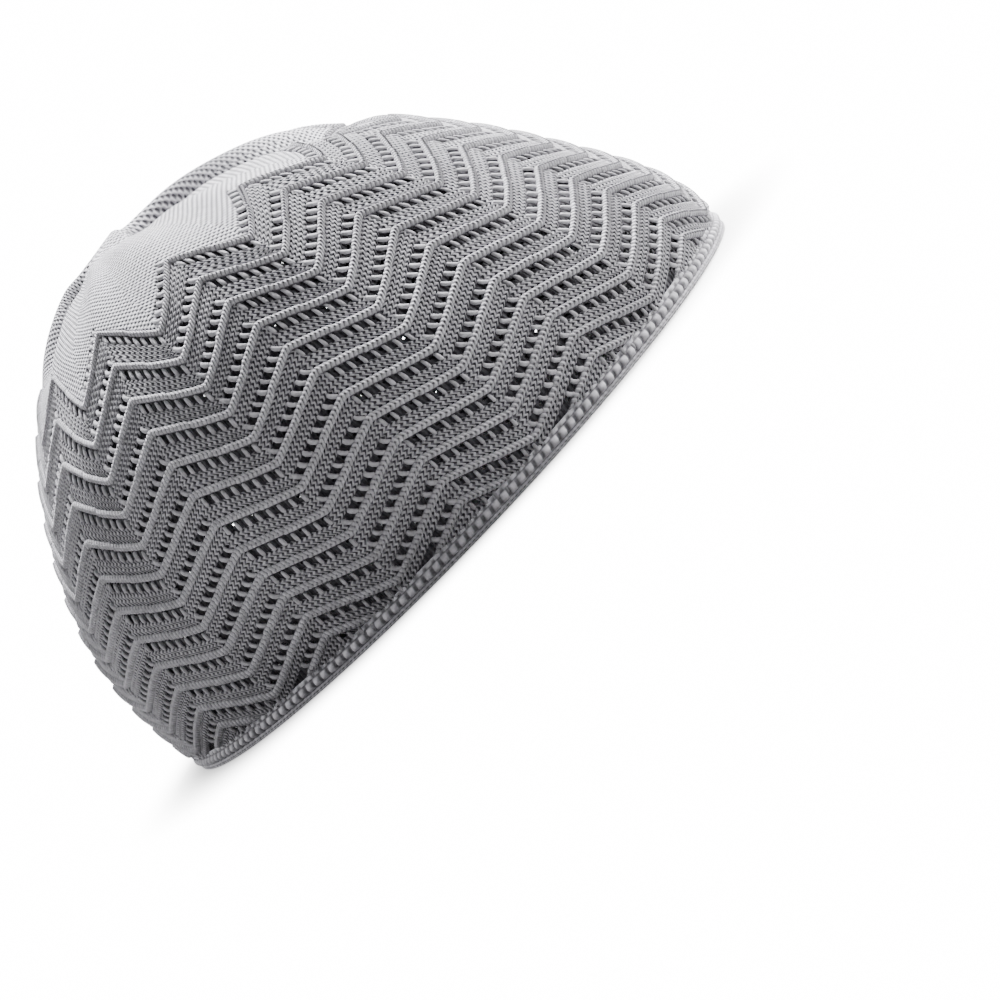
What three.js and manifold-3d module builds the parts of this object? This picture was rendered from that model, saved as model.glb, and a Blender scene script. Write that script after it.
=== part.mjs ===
// A knitted kufi: a brimless skullcap knitted in one piece, with zigzag ribs, eyelets and a plain folded crown.
// Millimetres, +Z up, +X to the wearer's front. The cap rests on its rim at z = 0, the origin under its middle.

import * as THREE from 'three';
import { ParametricGeometry } from 'three/addons/geometries/ParametricGeometry.js';
import { mergeVertices } from 'three/addons/utils/BufferGeometryUtils.js';
import Module from 'manifold-3d';

// Driving sizes
const RIM_LENGTH = 204;
const RIM_WIDTH = 160;
const CAP_HEIGHT = 117;
const WALL = 1.6;
const RIB_WIDTH = 2.6;
const RIB_HEIGHT = 0.8;
const BAND_HEIGHT = 5.2;
const BAND_HEIGHT_PROUD = 0.8;
const EYELET_WIDTH = 1.7;
const EYELET_CLEARANCE = 0.3;
const EYELET_END_MARGIN = 4;
const PUCKER_HEIGHT = 0.5;
const FRONT_FOLD_DEPTH = 12;
const BACK_FOLD_DEPTH = 6;
const SIDE_FOLD_DEPTH = 1.3;

// The pattern round the cap
const ZIGZAGS = 12;
const COLUMNS_PER_ZIGZAG = 4;
const COLUMNS = ZIGZAGS * COLUMNS_PER_ZIGZAG;

// How the zigzags' even turns are drawn together towards the front and back, and shifted round the sides, as
// polynomials in the share of the way up to the tip. Both are held above TURN_TOP.
const TURN_SPREAD = [0.042, -0.104];
const TURN_SHIFT = [-0.0795, 0.26, -0.035, -0.48];
const TURN_TOP = 0.72;

// Level sections from the rim to the tip. rise is a share of the height, back and front of half the
// rim's length, and side of half its width.
const SECTIONS = [
  { rise: 0.0, back: 0.997, front: 0.996, side: 1.0 },
  { rise: 0.092, back: 1.01, front: 0.997, side: 1.02 },
  { rise: 0.184, back: 1.013, front: 0.972, side: 1.03 },
  { rise: 0.276, back: 1.005, front: 0.925, side: 1.025 },
  { rise: 0.369, back: 0.981, front: 0.865, side: 1.005 },
  { rise: 0.461, back: 0.941, front: 0.803, side: 0.965 },
  { rise: 0.553, back: 0.886, front: 0.734, side: 0.91 },
  { rise: 0.645, back: 0.817, front: 0.655, side: 0.85 },
  { rise: 0.737, back: 0.732, front: 0.568, side: 0.77 },
  { rise: 0.829, back: 0.623, front: 0.468, side: 0.655 },
  { rise: 0.894, back: 0.538, front: 0.348, side: 0.53 },
  { rise: 0.94, back: 0.442, front: 0.2, side: 0.4 },
  { rise: 0.965, back: 0.365, front: 0.066, side: 0.27 },
  { rise: 0.979, back: 0.295, front: -0.065, side: 0.14 },
  { rise: 0.992, back: 0.215, front: -0.115, side: 0.06 },
  { rise: 1.0, back: 0.145, front: -0.145, side: 0.0 },
];

// Rib rows from the rim up: where each zigzag's low and high corners lie, as shares of the way to the tip.
const RIB_ROWS = [
  { low: 0.0, high: 0.063, eyelets: false },
  { low: 0.046, high: 0.106, eyelets: false },
  { low: 0.099, high: 0.153, eyelets: true },
  { low: 0.151, high: 0.201, eyelets: false },
  { low: 0.2025, high: 0.253, eyelets: true },
  { low: 0.254, high: 0.307, eyelets: false },
  { low: 0.3075, high: 0.364, eyelets: true },
  { low: 0.361, high: 0.424, eyelets: false },
  { low: 0.417, high: 0.4845, eyelets: true },
  { low: 0.4735, high: 0.547, eyelets: false },
  { low: 0.534, high: 0.615, eyelets: false },
  { low: 0.6, high: 0.693, eyelets: false },
];

// The rim band's outline: height as a share of the band's, and how far it stands proud as a share of its fullest.
const BAND_ROWS = [
  { height: 0.0, proud: 0.3 },
  { height: 0.2, proud: 0.9 },
  { height: 0.45, proud: 0.25 },
  { height: 0.6, proud: 1.0 },
  { height: 0.88, proud: 1.0 },
  { height: 1.0, proud: 0.0 },
];

// Soft folds of the crown. turn and spread are shares of the way round from the front, and foot, full, late
// and head are shares of the way from the rim to the tip. A fold deepens from foot to full, fades from late
// to head, and grows wider towards the tip by the share widen. One bank stands higher than the other by lean.
const FOLDS = [
  { turn: -0.018, spread: 0.066, depth: FRONT_FOLD_DEPTH, foot: 0.54, full: 0.72, late: 0.9, head: 0.99, widen: 1.0, lean: 1.4 },
  { turn: 0.515, spread: 0.052, depth: BACK_FOLD_DEPTH, foot: 0.64, full: 0.8, late: 0.88, head: 0.98, widen: 0.6, lean: -0.7 },
  { turn: 0.165, spread: 0.05, depth: SIDE_FOLD_DEPTH, foot: 0.6, full: 0.82, late: 0.86, head: 0.96, widen: 0, lean: 0 },
  { turn: -0.165, spread: 0.05, depth: SIDE_FOLD_DEPTH, foot: 0.6, full: 0.82, late: 0.86, head: 0.96, widen: 0, lean: 0 },
  { turn: 0.375, spread: 0.05, depth: SIDE_FOLD_DEPTH, foot: 0.62, full: 0.82, late: 0.86, head: 0.96, widen: 0, lean: 0 },
  { turn: -0.375, spread: 0.05, depth: SIDE_FOLD_DEPTH, foot: 0.62, full: 0.82, late: 0.86, head: 0.96, widen: 0, lean: 0 },
];

// How far up the crown each plain row lies, as a share of the way from the last rib to the tip.
const CROWN_ROWS = [0.14, 0.3, 0.46, 0.62, 0.77, 0.88, 0.95];

// Rows of the inner face below the crown.
const INNER_ROWS = 8;

// A smooth curve through one column of the section table, at a row number with a fraction.
function sectionValue(name, row) {
  const last = SECTIONS.length - 1;
  const index = Math.min(Math.floor(row), last - 1);
  const here = SECTIONS[index][name];
  const next = SECTIONS[index + 1][name];
  const before = index > 0 ? SECTIONS[index - 1][name] : 2 * here - next;
  const after = index < last - 1 ? SECTIONS[index + 2][name] : 2 * next - here;
  const part = row - index;
  const slope = (next - before) / 2;
  const nextSlope = (after - here) / 2;
  return (
    here * (2 * part ** 3 - 3 * part ** 2 + 1) +
    slope * (part ** 3 - 2 * part ** 2 + part) +
    next * (3 * part ** 2 - 2 * part ** 3) +
    nextSlope * (part ** 3 - part ** 2)
  );
}

// The length of the side's profile from the rim up to each of many steps, and the row number there.
function measureProfile() {
  const stepsPerRow = 24;
  const steps = (SECTIONS.length - 1) * stepsPerRow;
  const marks = [{ length: 0, row: 0 }];
  for (let step = 1; step <= steps; step += 1) {
    const row = step / stepsPerRow;
    const rowBefore = (step - 1) / stepsPerRow;
    const climb = (sectionValue('rise', row) - sectionValue('rise', rowBefore)) * CAP_HEIGHT;
    const inward = ((sectionValue('side', row) - sectionValue('side', rowBefore)) * RIM_WIDTH) / 2;
    marks.push({ length: marks[step - 1].length + Math.hypot(climb, inward), row });
  }
  return marks;
}

const PROFILE = measureProfile();
const PROFILE_LENGTH = PROFILE[PROFILE.length - 1].length;

// The row number in the section table at a share of the way from the rim to the tip.
function rowAt(along) {
  const target = THREE.MathUtils.clamp(along, 0, 1) * PROFILE_LENGTH;
  let low = 0;
  let high = PROFILE.length - 1;
  while (high - low > 1) {
    const middle = Math.floor((low + high) / 2);
    if (PROFILE[middle].length <= target) {
      low = middle;
    } else {
      high = middle;
    }
  }
  const span = PROFILE[high].length - PROFILE[low].length;
  return PROFILE[low].row + ((target - PROFILE[low].length) / span) * (PROFILE[high].row - PROFILE[low].row);
}

function polynomial(factors, value) {
  return factors.reduceRight((sum, factor) => sum * value + factor, 0);
}

// A point of the plain dome, before folds and ribs. turn runs anticlockwise from the front, seen from above.
function domePoint(turn, along) {
  const row = rowAt(along);
  const back = (sectionValue('back', row) * RIM_LENGTH) / 2;
  const front = (sectionValue('front', row) * RIM_LENGTH) / 2;
  const side = (sectionValue('side', row) * RIM_WIDTH) / 2;
  const place = THREE.MathUtils.clamp(along, 0, TURN_TOP);
  const even = 2 * Math.PI * turn;
  const angle =
    even + polynomial(TURN_SPREAD, place) * Math.sin(2 * even) - polynomial(TURN_SHIFT, place) * Math.sin(even);
  return new THREE.Vector3(
    (front - back) / 2 + ((front + back) / 2) * Math.cos(angle),
    side * Math.sin(angle),
    sectionValue('rise', row) * CAP_HEIGHT,
  );
}

// The outward direction of a surface at a place, level at the rim so that the rim stays flat.
function outward(surface, turn, along) {
  const step = 0.002;
  const place = Math.min(along, 1 - 4 * step);
  const acrossStart = surface(turn - step, place);
  const across = surface(turn + step, place).sub(acrossStart);
  const lower = Math.max(place - step, 0);
  const upStart = surface(turn, lower);
  const up = surface(turn, place + step).sub(upStart);
  const normal = across.cross(up).normalize();
  normal.z *= THREE.MathUtils.smoothstep(place * PROFILE_LENGTH, 0, BAND_HEIGHT);
  return normal.normalize();
}

// How deep the folds press the crown in at a place, between one higher and one lower bank.
function foldDepth(turn, along) {
  let depth = 0;
  for (const fold of FOLDS) {
    const wide = fold.spread * (1 + fold.widen * THREE.MathUtils.smoothstep(along, 0.8, 0.98));
    const offset = (turn - fold.turn - Math.round(turn - fold.turn)) / wide;
    const valley = Math.exp(-((Math.abs(offset) / 0.85) ** 4));
    const banks = Math.exp(-(((offset - 1.15) / 0.5) ** 2)) - 2 * Math.exp(-(((offset + 1.25) / 0.6) ** 2));
    const rising = THREE.MathUtils.smoothstep(along, fold.foot, fold.full);
    const fading = 1 - THREE.MathUtils.smoothstep(along, fold.late, fold.head);
    depth += (fold.depth * valley - fold.lean * banks) * rising * fading;
  }
  return depth;
}

// The low pucker between the crown's gores, highest on the lines of the zigzags' high corners.
function puckerHeight(turn, along) {
  const rising = THREE.MathUtils.smoothstep(along, 0.55, 0.8);
  const fading = 1 - THREE.MathUtils.smoothstep(along, 0.8, 0.97);
  return PUCKER_HEIGHT * Math.cos(2 * Math.PI * ZIGZAGS * turn) * rising * fading;
}

// A point of the outer cloth, with the crown's folds and puckers but without ribs.
function clothPoint(turn, along) {
  const relief = puckerHeight(turn, along) - foldDepth(turn, along);
  return domePoint(turn, along).addScaledVector(outward(domePoint, turn, along), relief);
}

// A point of the cloth moved outwards by a height, or inwards by a negative one.
function raisedPoint(turn, along, height) {
  const point = clothPoint(turn, along);
  return height === 0 ? point : point.addScaledVector(outward(clothPoint, turn, along), height);
}

// How far a place round the cap lies from a low corner of the zigzags (0) to a high one (1).
function zigzagShare(turn) {
  const phase = turn * ZIGZAGS;
  return 1 - 2 * Math.abs(phase - Math.round(phase));
}

// Where a rib runs at a place round the cap, as a share of the way from the rim to the tip.
function ribAlong(rib, turn) {
  return THREE.MathUtils.lerp(rib.low, rib.high, zigzagShare(turn));
}

const BAND_TOP = BAND_HEIGHT / PROFILE_LENGTH;
const HALF_RIB = RIB_WIDTH / 2 / PROFILE_LENGTH;

// One row of the shell's mesh: where it runs and how far it stands off the cloth at each place round the cap.
function bandRow(station) {
  return () => ({ along: station.height * BAND_TOP, height: station.proud * BAND_HEIGHT_PROUD });
}

function ribRow(rib, shift, height) {
  return (turn) => {
    const centre = ribAlong(rib, turn);
    const clear = THREE.MathUtils.clamp((centre - BAND_TOP) / HALF_RIB, 0, 1);
    return { along: Math.max(centre + shift * HALF_RIB, BAND_TOP), height: height * clear };
  };
}

function crownRow(share, height) {
  const lastRib = RIB_ROWS[RIB_ROWS.length - 1];
  return (turn) => ({ along: THREE.MathUtils.lerp(ribAlong(lastRib, turn) + HALF_RIB, 1, share), height });
}

function innerRow(share) {
  const lastRib = RIB_ROWS[RIB_ROWS.length - 1];
  return (turn) => ({ along: (ribAlong(lastRib, turn) + HALF_RIB) * share, height: -WALL });
}

// The shell's rows in order: down the inside from the tip, round the rim and up the outside to the tip.
function shellRows() {
  const tip = 1;
  const outer = BAND_ROWS.map(bandRow);
  for (const rib of RIB_ROWS) {
    outer.push(ribRow(rib, -1, 0), ribRow(rib, 0, RIB_HEIGHT), ribRow(rib, 1, 0));
  }
  outer.push(...CROWN_ROWS.map((share) => crownRow(share, 0)), crownRow(tip, 0));
  const inner = [];
  for (let row = 0; row <= INNER_ROWS; row += 1) {
    inner.push(innerRow(row / INNER_ROWS));
  }
  inner.push(...CROWN_ROWS.map((share) => crownRow(share, -WALL)), crownRow(tip, -WALL));
  return [...inner.reverse(), ...outer];
}

// Welds a geometry's doubled points and drops the triangles that close up at the tip and along the band.
function weld(geometry) {
  const bare = new THREE.BufferGeometry();
  bare.setAttribute('position', geometry.getAttribute('position'));
  bare.setIndex(geometry.getIndex());
  const welded = mergeVertices(bare, 1e-3);
  const corners = welded.getIndex().array;
  const kept = [];
  for (let first = 0; first < corners.length; first += 3) {
    const [a, b, c] = corners.slice(first, first + 3);
    if (a !== b && b !== c && c !== a) {
      kept.push(a, b, c);
    }
  }
  welded.setIndex(kept);
  return welded;
}

// The whole wall of the cap as one closed surface.
function shellGeometry() {
  const rows = shellRows();
  const place = (round, across, target) => {
    const row = rows[Math.round(across * (rows.length - 1))];
    const column = Math.round(round * COLUMNS) % COLUMNS;
    const turn = column / COLUMNS;
    const { along, height } = row(turn);
    const atTip = along >= 1;
    target.copy(raisedPoint(atTip ? 0 : turn, along, atTip ? 0 : height));
    if (atTip) {
      target.z += height;
    }
  };
  return weld(new ParametricGeometry(place, COLUMNS, rows.length - 1));
}

const wasm = await Module();
wasm.setup();

function toSolid(geometry) {
  const vertProperties = new Float32Array(geometry.getAttribute('position').array);
  const triVerts = new Uint32Array(geometry.getIndex().array);
  return new wasm.Manifold(new wasm.Mesh({ numProp: 3, vertProperties, triVerts }));
}

function toGeometry(solid) {
  const mesh = solid.getMesh();
  const geometry = new THREE.BufferGeometry();
  geometry.setAttribute('position', new THREE.BufferAttribute(new Float32Array(mesh.vertProperties), 3));
  geometry.setIndex(new THREE.BufferAttribute(new Uint32Array(mesh.triVerts), 1));
  return geometry;
}

// The cutter for one row of eyelets beside a rib: above the rib where it climbs and below where it falls.
function eyeletCutter(rib, half) {
  const halfTurn = 0.5 / ZIGZAGS;
  const startTurn = half * halfTurn;
  const climbs = half % 2 === 1;
  const offset = (RIB_WIDTH / 2 + EYELET_CLEARANCE + EYELET_WIDTH / 2) / PROFILE_LENGTH;
  const shift = climbs ? offset : -offset;
  const pointAt = (share) => {
    const turn = startTurn + share * halfTurn;
    return raisedPoint(turn, ribAlong(rib, turn) + shift, -WALL / 2);
  };
  const start = pointAt(0);
  const end = pointAt(1);
  const lengthwise = end.clone().sub(start);
  const length = lengthwise.length() - 2 * EYELET_END_MARGIN;
  const middleTurn = startTurn + halfTurn / 2;
  const normal = outward(clothPoint, middleTurn, ribAlong(rib, middleTurn) + shift);
  const across = normal.clone().cross(lengthwise).normalize();
  const deep = lengthwise.clone().cross(across).normalize();
  const turned = new THREE.Matrix4().makeBasis(lengthwise.normalize(), across, deep);
  const box = new THREE.BoxGeometry(Math.max(length, EYELET_WIDTH), EYELET_WIDTH, 6 * WALL);
  box.applyMatrix4(turned.setPosition(pointAt(0.5)));
  return toSolid(weld(box));
}

// The shell with its rows of eyelets cut through.
function capGeometry() {
  let solid = toSolid(shellGeometry());
  for (const rib of RIB_ROWS.filter((row) => row.eyelets)) {
    for (let half = 0; half < 2 * ZIGZAGS; half += 1) {
      solid = solid.subtract(eyeletCutter(rib, half));
    }
  }
  return toGeometry(solid);
}

// Puts the origin under the middle of the cap, on the surface that its rim rests on.
function centreOnRim(geometry) {
  geometry.computeBoundingBox();
  const { min, max } = geometry.boundingBox;
  return geometry.translate(-(min.x + max.x) / 2, -(min.y + max.y) / 2, -min.z);
}

function knitCap() {
  const geometry = centreOnRim(capGeometry());
  geometry.computeVertexNormals();
  const yarn = new THREE.MeshStandardMaterial({ color: 0x8d8c94, roughness: 0.92, metalness: 0 });
  const mesh = new THREE.Mesh(geometry, yarn);
  mesh.name = 'knit_cap';
  return mesh;
}

const kufi = new THREE.Group();
kufi.add(knitCap());

export default kufi;
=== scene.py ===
"""A knitted kufi in metres, +X to the front: zigzag ribs, eyelets, a rolled rim band and a folded crown."""

import math

import bmesh
import bpy
import numpy as np
from mathutils import Matrix, Vector


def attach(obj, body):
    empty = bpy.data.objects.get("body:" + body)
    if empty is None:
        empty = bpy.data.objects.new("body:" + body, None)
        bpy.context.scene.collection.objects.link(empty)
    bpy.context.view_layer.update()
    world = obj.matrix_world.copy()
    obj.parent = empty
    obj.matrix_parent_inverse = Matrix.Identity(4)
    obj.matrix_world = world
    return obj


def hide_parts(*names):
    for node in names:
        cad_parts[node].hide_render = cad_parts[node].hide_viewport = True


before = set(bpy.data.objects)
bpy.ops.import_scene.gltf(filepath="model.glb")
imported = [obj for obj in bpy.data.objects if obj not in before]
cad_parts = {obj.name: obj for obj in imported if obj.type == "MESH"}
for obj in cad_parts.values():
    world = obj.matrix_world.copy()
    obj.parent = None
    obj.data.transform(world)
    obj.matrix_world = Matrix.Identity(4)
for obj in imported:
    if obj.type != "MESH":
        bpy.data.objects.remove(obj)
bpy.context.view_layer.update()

bl_info = {
    "name": "Knitted kufi",
    "version": (1, 0, 0),
    "blender": (4, 5, 0),
    "location": "3D View > Sidebar > Kufi",
    "description": "Builds a knitted kufi with zigzag ribs, eyelets, a rim band and a folded crown",
    "category": "Object",
}

MM = 0.001
ZIGZAGS = 12
HALVES = 2 * ZIGZAGS

# How the zigzags' even turns are drawn together towards the front and back, and shifted round the sides, as
# polynomials in the share of the way up to the tip. Both are held above TURN_TOP.
TURN_SPREAD = (0.042, -0.104)
TURN_SHIFT = (-0.0795, 0.26, -0.035, -0.48)
TURN_TOP = 0.72

# Sizes of the knitting, in millimetres.
BAND_HEIGHT = 5.2
FIRST_GAP = 8.3  # height of the ground below the first rib
SHEET_START = 0.8  # from a rib's middle to the edge of the ground under it
EDGE_DIP = 0.5  # how deep the ground dips at that edge
EDGE_WIDTH = 0.7  # over what width it does
UNDER_RIB = 0.6  # how far eyelets reach in under a rib
EYELET_FADE = 0.6  # over what width the dip beside the eyelets ends
CORNER_KEPT = 0.7  # no eyelet lies nearer to a zigzag's corner
CORNER_FADE = (0.6, 1.4)  # where that dip starts and is full, from a corner

SECTION_STEPS = 24  # steps between two level sections when the profile is measured
WHOLE = 0.99  # mean of the marks at a face's corners above which all of them are marked
SEAM_WELD = 2e-6  # in metres
TIP_WELD = 5e-6  # in metres
TIP_REACH = 0.02  # points this near below the tip are welded, in millimetres

# Level sections from the rim to the tip: rise as a share of the height, back and front of half the rim's
# length, and side of half its width.
SECTIONS = np.array([
    (0.0, 0.997, 0.996, 1.0),
    (0.092, 1.01, 0.997, 1.02),
    (0.184, 1.013, 0.972, 1.03),
    (0.276, 1.005, 0.925, 1.025),
    (0.369, 0.981, 0.865, 1.005),
    (0.461, 0.941, 0.803, 0.965),
    (0.553, 0.886, 0.734, 0.91),
    (0.645, 0.817, 0.655, 0.85),
    (0.737, 0.732, 0.568, 0.77),
    (0.829, 0.623, 0.468, 0.655),
    (0.894, 0.538, 0.348, 0.53),
    (0.94, 0.442, 0.2, 0.4),
    (0.965, 0.365, 0.066, 0.27),
    (0.979, 0.295, -0.065, 0.14),
    (0.992, 0.215, -0.115, 0.06),
    (1.0, 0.145, -0.145, 0.0),
])

# Rib rows from the rim up: where the low and high corners lie, as shares of the way to the tip, and the
# courses of knitting in half a zigzag of the ground above the rib.
RIB_ROWS = [
    (0.0, 0.063, 18),
    (0.046, 0.106, 18),
    (0.099, 0.153, 18),
    (0.151, 0.201, 18),
    (0.2025, 0.253, 18),
    (0.254, 0.307, 18),
    (0.3075, 0.364, 16),
    (0.361, 0.424, 16),
    (0.417, 0.4845, 16),
    (0.4735, 0.547, 14),
    (0.534, 0.615, 12),
    (0.6, 0.693, 12),
]

# Soft folds of the crown: turn and spread as shares of the way round, depth in millimetres, and foot, full,
# late and head as shares of the way to the tip. A fold deepens from foot to full, fades from late to head,
# and grows wider towards the tip by the share widen. The bank on the side of growing turn is raised by lean,
# in millimetres, and the other one is lowered by twice as much.
FOLDS = [
    (-0.018, 0.066, 12, 0.54, 0.72, 0.9, 0.99, 1.0, 1.4),
    (0.515, 0.052, 6, 0.64, 0.8, 0.88, 0.98, 0.6, -0.7),
    (0.165, 0.05, 1.3, 0.6, 0.82, 0.86, 0.96, 0.0, 0),
    (-0.165, 0.05, 1.3, 0.6, 0.82, 0.86, 0.96, 0.0, 0),
    (0.375, 0.05, 1.3, 0.62, 0.82, 0.86, 0.96, 0.0, 0),
    (-0.375, 0.05, 1.3, 0.62, 0.82, 0.86, 0.96, 0.0, 0),
]

# The rim band from inside the cap, round its edge and up: height above the rim, how far it stands off the
# cloth, and the shares of the edge chain's, the bobbles' and the small loops' swelling.
BAND_ROWS = [
    (3.0, -1.5, 0.0, 0.0, 0.0),
    (1.2, -1.4, 0.0, 0.0, 0.0),
    (0.35, -1.1, 0.2, 0.0, 0.0),
    (0.0, -0.5, 0.5, 0.0, 0.0),
    (0.0, 0.05, 0.7, 0.0, 0.0),
    (0.15, 0.5, 1.0, 0.0, 0.0),
    (0.45, 0.65, 1.0, 0.0, 0.0),
    (0.75, 0.35, 0.2, 0.0, 0.0),
    (1.0, 0.6, -1.0, 0.0, 0.0),
    (1.3, 0.5, -1.0, 0.0, 0.0),
    (1.55, 0.0, 0.0, 0.0, 0.0),
    (1.75, 0.45, 0.0, 0.5, 0.0),
    (2.1, 0.95, 0.0, 1.0, 0.0),
    (2.7, 1.15, 0.0, 1.0, 0.0),
    (3.3, 0.95, 0.0, 1.0, 0.0),
    (3.75, 0.4, 0.0, 0.7, 0.0),
    (4.05, 0.0, 0.0, 0.1, 0.2),
    (4.4, 0.2, 0.0, 0.0, 0.8),
    (4.75, 0.1, 0.0, 0.0, 0.6),
    (5.2, -0.5, 0.0, 0.0, 0.0),
]

# The studio's round lights: name, place, the point that each faces, width, power in watts and colour.
LIGHTS = [
    ("top", (0.35, 0.32, 1.0), (0, 0, 0.05), 0.35, 86, (1.0, 1.0, 1.0)),
    ("back", (-0.85, 0.0, 0.7), (0, 0, 0.06), 0.5, 6, (1.0, 1.0, 1.0)),
    ("front", (0.95, 0.0, 0.5), (0, 0, 0.06), 0.5, 24, (1.0, 0.99, 0.98)),
    ("fill", (0.3, -0.8, 0.8), (0, 0, 0.05), 0.5, 2, (0.98, 0.99, 1.0)),
]


class KufiSettings(bpy.types.PropertyGroup):
    """Sizes and colours of the kufi."""

    rim_length: bpy.props.FloatProperty(
        name="Rim length", description="Rim from front to back", default=0.204, unit="LENGTH"
    )
    rim_width: bpy.props.FloatProperty(
        name="Rim width", description="Rim from side to side", default=0.16, unit="LENGTH"
    )
    cap_height: bpy.props.FloatProperty(
        name="Height", description="Cap from rim to tip", default=0.117, unit="LENGTH"
    )
    rib_width: bpy.props.FloatProperty(
        name="Rib width", description="Width of a zigzag rib", default=0.0026, unit="LENGTH"
    )
    rib_height: bpy.props.FloatProperty(
        name="Rib height", description="How far a rib stands off the cloth", default=0.0008, unit="LENGTH"
    )
    wave_length: bpy.props.FloatProperty(
        name="Stitch length", description="One wave of the upright yarns", default=0.00146, unit="LENGTH"
    )
    wave_swing: bpy.props.FloatProperty(
        name="Yarn swing", description="How far the yarns swing sideways", default=0.00044, unit="LENGTH"
    )
    yarn_lean: bpy.props.FloatProperty(
        name="Yarn lean", description="Lean of the yarns where a zigzag falls", default=0.44, subtype="ANGLE"
    )
    rib_stitches: bpy.props.IntProperty(
        name="Rib stitches", description="Stitches of a rib on half a zigzag", default=20, min=4, max=40
    )
    eyelets: bpy.props.IntProperty(
        name="Eyelets", description="Eyelets beside a rib on half a zigzag", default=8, min=2, max=20
    )
    eyelet_height: bpy.props.FloatProperty(
        name="Eyelet height", description="Height of the eyelets beside a rib", default=0.0021, unit="LENGTH"
    )
    wall: bpy.props.FloatProperty(
        name="Wall", description="Thickness of the knitted wall", default=0.0014, unit="LENGTH"
    )
    yarn_color: bpy.props.FloatVectorProperty(
        name="Yarn", description="Colour of the yarn", subtype="COLOR", size=3,
        default=(0.345, 0.338, 0.36)
    )
    # Painted shade: the dark colour that the yarn is mixed towards in the gaps between stitches and where a
    # piece's shade mask is set.
    shade_color: bpy.props.FloatVectorProperty(
        name="Gaps", description="Colour between the stitches", subtype="COLOR", size=3,
        default=(0.022, 0.021, 0.027)
    )
    floor_color: bpy.props.FloatVectorProperty(
        name="Floor", description="Colour of the floor", subtype="COLOR", size=3,
        default=(0.86, 0.86, 0.86)
    )


def settings():
    return bpy.context.scene.kufi


def smoothstep(value, low, high):
    """From 0 at low to 1 at high, with a soft start and end."""
    part = np.clip((value - low) / (high - low), 0.0, 1.0)
    return part * part * (3 - 2 * part)


# The cap's surface, in millimetres

SECTION_ENDS = np.vstack([2 * SECTIONS[0] - SECTIONS[1], SECTIONS, 2 * SECTIONS[-1] - SECTIONS[-2]])


def section_at(row):
    """A smooth curve through the section table, at row numbers with a fraction."""
    index = np.minimum(np.floor(row).astype(int), len(SECTIONS) - 2)
    before = SECTION_ENDS[index]
    here = SECTION_ENDS[index + 1]
    after = SECTION_ENDS[index + 2]
    beyond = SECTION_ENDS[index + 3]
    part = (row - index)[..., None]
    slope = (after - before) / 2
    next_slope = (beyond - here) / 2
    start = here * (2 * part**3 - 3 * part**2 + 1) + slope * (part**3 - 2 * part**2 + part)
    end = after * (3 * part**2 - 2 * part**3) + next_slope * (part**3 - part**2)
    return start + end


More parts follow.
